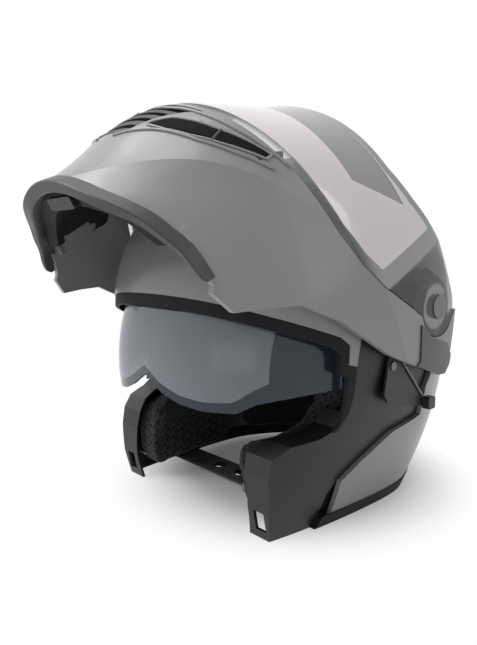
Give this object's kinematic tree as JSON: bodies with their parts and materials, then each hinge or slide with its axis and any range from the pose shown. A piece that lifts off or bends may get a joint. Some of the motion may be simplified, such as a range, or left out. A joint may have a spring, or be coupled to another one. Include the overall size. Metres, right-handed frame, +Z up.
{
  "type": "modular motorcycle helmet",
  "caption": "Modular motorcycle helmet with a hinged chin bar, face shield, drop-down sun visor, padded lining and chin strap.",
  "frame": {"origin": "middle of the head opening, in the plane of the shell's lower rim", "axes": "+X the wearer's left, -Y forward, +Z up towards the crown"},
  "size_m": [0.265, 0.3411, 0.2965],
  "materials": {
    "paint": "satin",
    "black_plastic": "matte",
    "gloss_black": "gloss",
    "black_rubber": "matte",
    "foam_black": "matte",
    "lining_fabric": "matte",
    "webbing": "matte",
    "steel": "satin",
    "bright_metal": "polished",
    "clear_lens": "gloss",
    "film": "gloss",
    "smoked_lens": "gloss"
  },
  "bodies": {
    "shell": {"outer_shell": "paint", "side_plate_left": "black_plastic", "side_plate_right": "black_plastic", "rim_trim": "black_rubber", "brow_gasket": "black_rubber", "eps_liner": "foam_black", "eps_cheek_left": "foam_black", "eps_cheek_right": "foam_black", "crown_pad": "lining_fabric", "cheek_pad_left": "lining_fabric", "cheek_pad_right": "lining_fabric", "neck_roll": "lining_fabric", "hinge_base_left": "steel", "hinge_base_right": "steel", "hinge_pin_left": "steel", "hinge_pin_right": "steel", "latch_bar_left": "steel", "latch_bar_right": "steel", "sun_bracket_left": "black_plastic", "sun_bracket_right": "black_plastic", "strap_left": "webbing", "strap_right": "webbing", "strap_anchor_left": "steel", "strap_anchor_right": "steel", "buckle_frame": "steel", "press_studs": "bright_metal", "rear_vent": "black_plastic", "crown_vent": "black_plastic", "sun_lever_rivet": "steel"},
    "chin_bar": {"chin_bar_shell": "paint", "chin_lining": "foam_black", "lip_trim": "black_rubber", "mouth_vent": "black_plastic", "side_intake_left": "black_plastic", "side_intake_right": "black_plastic", "arm_cover_left": "gloss_black", "arm_cover_right": "gloss_black", "hinge_arm_left": "steel", "hinge_arm_right": "steel"},
    "visor": {"visor": "clear_lens", "visor_film": "film", "visor_ring_left": "bright_metal", "visor_ring_right": "bright_metal"},
    "sun_visor": {"sun_visor": "smoked_lens"},
    "sun_lever": {"sun_lever_plate": "black_plastic", "sun_lever_knob": "black_plastic", "sun_lever_wire": "steel"},
    "release_button": {"release_button": "black_plastic"},
    "latch_left": {"latch_hook_left": "steel"},
    "latch_right": {"latch_hook_right": "steel"},
    "crown_slider": {"crown_vent_slider": "black_plastic"},
    "buckle_lever": {"buckle_lever": "steel"}
  },
  "joints": [
    {"name": "chin_bar_hinge", "type": "hinge", "parent": "shell", "child": "chin_bar", "pos_m": [0, 0.015, 0.15], "axis": [1, 0, 0], "range_deg": [0, 62]},
    {"name": "visor_hinge", "type": "hinge", "parent": "chin_bar", "child": "visor", "pos_m": [0, 0.015, 0.15], "axis": [1, 0, 0], "range_deg": [-48, 0]},
    {"name": "sun_visor_hinge", "type": "hinge", "parent": "shell", "child": "sun_visor", "pos_m": [0, -0.005, 0.105], "axis": [-1, 0, 0], "range_deg": [0, 34]},
    {"name": "sun_lever_hinge", "type": "hinge", "parent": "shell", "child": "sun_lever", "pos_m": [0.1206, -0.025, 0.112], "axis": [1, 0, 0], "range_deg": [0, 10]},
    {"name": "release_press", "type": "slide", "parent": "chin_bar", "child": "release_button", "axis": [0, 0.8829, 0.4695], "range_m": [0, 0.0025], "stiffness_N_per_m": 400},
    {"name": "latch_left_turn", "type": "hinge", "parent": "chin_bar", "child": "latch_left", "pos_m": [0.0753, -0.16756, 0.1962], "axis": [-1, 0, 0], "range_deg": [0, 8], "stiffness_Nm_per_rad": 0.2},
    {"name": "latch_right_turn", "type": "hinge", "parent": "chin_bar", "child": "latch_right", "pos_m": [-0.0753, -0.16756, 0.1962], "axis": [-1, 0, 0], "range_deg": [0, 8], "stiffness_Nm_per_rad": 0.2},
    {"name": "crown_vent_slide", "type": "slide", "parent": "shell", "child": "crown_slider", "axis": [0, 0.9636, 0.2672], "range_m": [0, 0.006]},
    {"name": "buckle_lever_hinge", "type": "hinge", "parent": "shell", "child": "buckle_lever", "pos_m": [0.0425, -0.0495, 0.0075], "axis": [0, 1, 0], "range_deg": [0, 60]}
  ],
  "couplings": [
    {"joint": "sun_lever_hinge", "follows": "sun_visor_hinge", "ratio": 0.29},
    {"joint": "latch_left_turn", "follows": "release_press", "rad_per_m": 50},
    {"joint": "latch_right_turn", "follows": "release_press", "rad_per_m": 50}
  ]
}
